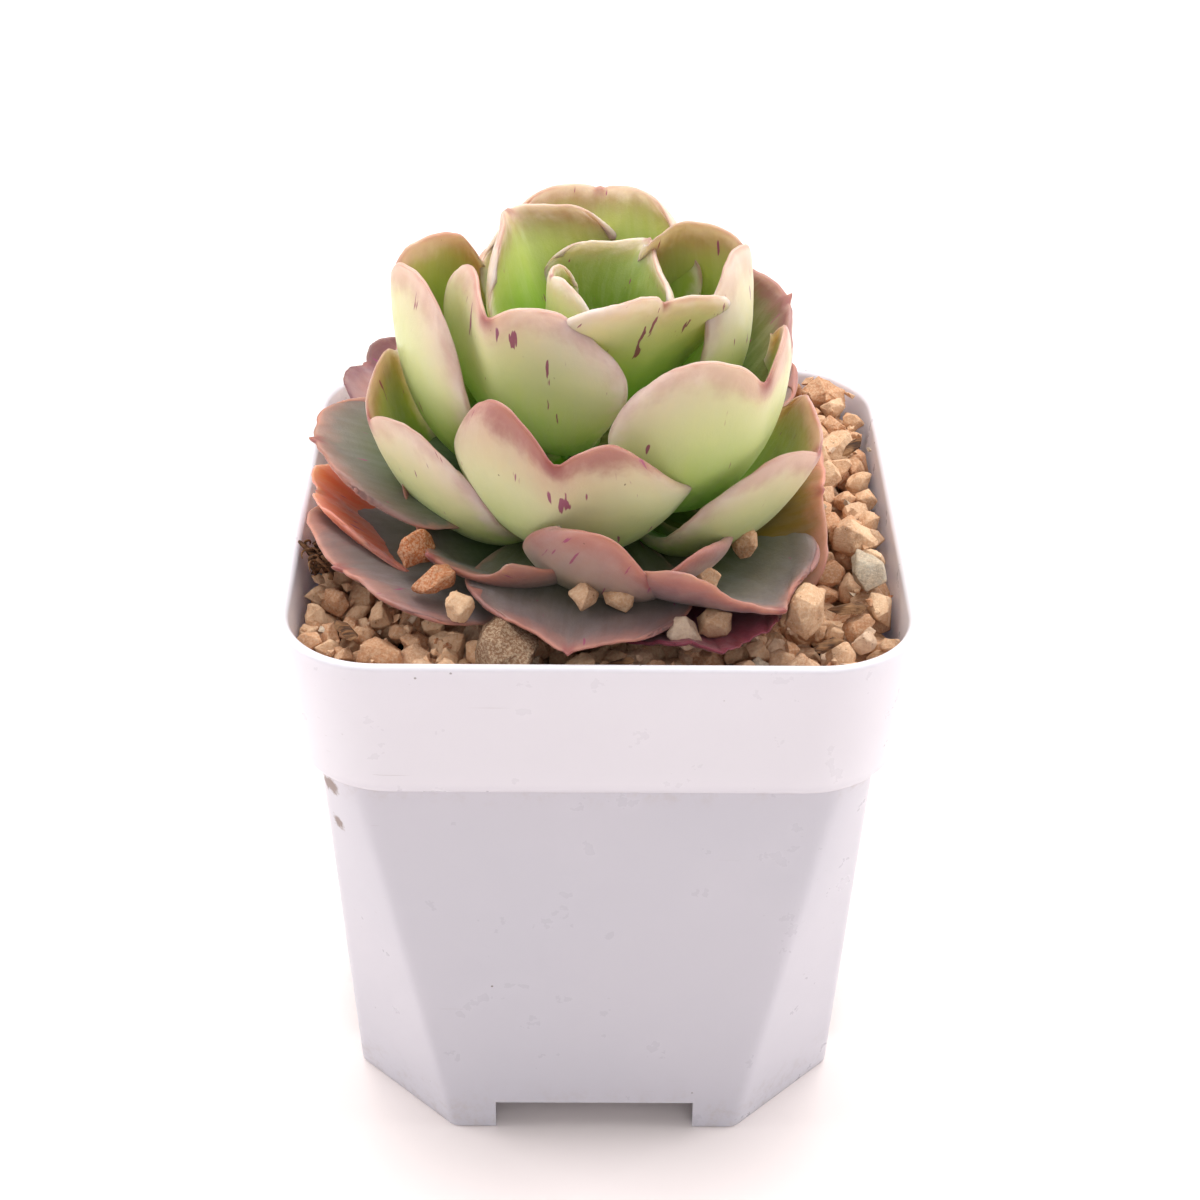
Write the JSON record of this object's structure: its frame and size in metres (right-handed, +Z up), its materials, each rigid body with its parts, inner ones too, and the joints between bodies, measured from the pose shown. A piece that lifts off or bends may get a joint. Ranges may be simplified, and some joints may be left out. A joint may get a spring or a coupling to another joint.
{
  "type": "potted succulent",
  "caption": "Rosette succulent with fleshy cupped leaves growing in a square plastic nursery pot topped with loose clay granules.",
  "frame": {"origin": "middle of the pot's footprint, on the surface that it stands on", "axes": "+Z up along the pot and the stem, -Y towards the side that the low front leaves face, +X to the right seen from there"},
  "size_m": [0.0698, 0.0698, 0.1045],
  "materials": {
    "pot_plastic": "white polypropylene with a soft gloss and a few scuffs",
    "leaf_inner": "fleshy apple-green leaf with pale cream margins, satin",
    "leaf_middle": "fleshy leaf, green at the base and peach-cream outside, with purple flecks and a pink edge, satin",
    "leaf_outer": "grey-green leaf with lilac bloom and a thin pink edge",
    "leaf_old": "old leaf turned translucent orange",
    "leaf_dried": "dried, curled magenta-brown leaf",
    "stem": "short green-brown stem with leaf scars",
    "granules": "angular baked clay granules, matte tan and ochre",
    "potting_mix": "dark peat and bark potting mix"
  },
  "bodies": {
    "root": {"pot": "pot_plastic", "potting_mix": "potting_mix", "granule_bed": "granules", "stem": "stem", "leaf_01": "leaf_inner", "leaf_02": "leaf_inner", "leaf_03": "leaf_middle", "leaf_04": "leaf_inner", "leaf_05": "leaf_inner", "leaf_06": "leaf_middle", "leaf_07": "leaf_inner", "leaf_08": "leaf_middle", "leaf_09": "leaf_inner", "leaf_10": "leaf_inner", "leaf_11": "leaf_inner", "leaf_12": "leaf_middle", "leaf_13": "leaf_middle", "leaf_14": "leaf_inner", "leaf_15": "leaf_inner", "leaf_16": "leaf_middle", "leaf_17": "leaf_inner", "leaf_18": "leaf_outer", "leaf_19": "leaf_outer", "leaf_20": "leaf_outer", "leaf_21": "leaf_middle", "leaf_22": "leaf_outer", "leaf_23": "leaf_middle", "leaf_24": "leaf_outer", "leaf_25": "leaf_outer", "leaf_26": "leaf_outer", "leaf_27": "leaf_outer", "leaf_28": "leaf_old", "leaf_29": "leaf_outer", "leaf_30": "leaf_old", "leaf_31": "leaf_dried", "stone_on_left_leaf": "granules", "stone_left_leaf_edge": "granules", "stone_left_tip": "granules", "stone_front_leaf_left": "granules", "stone_front_leaf_right": "granules", "stone_on_right_leaf": "granules", "stone_under_right_leaf": "granules", "stone_front_1": "granules", "stone_front_2": "granules", "stone_right_tan": "granules", "stone_right_grey": "granules", "stone_right_oblong": "granules", "stone_front_brown": "granules"}
  },
  "joints": []
}
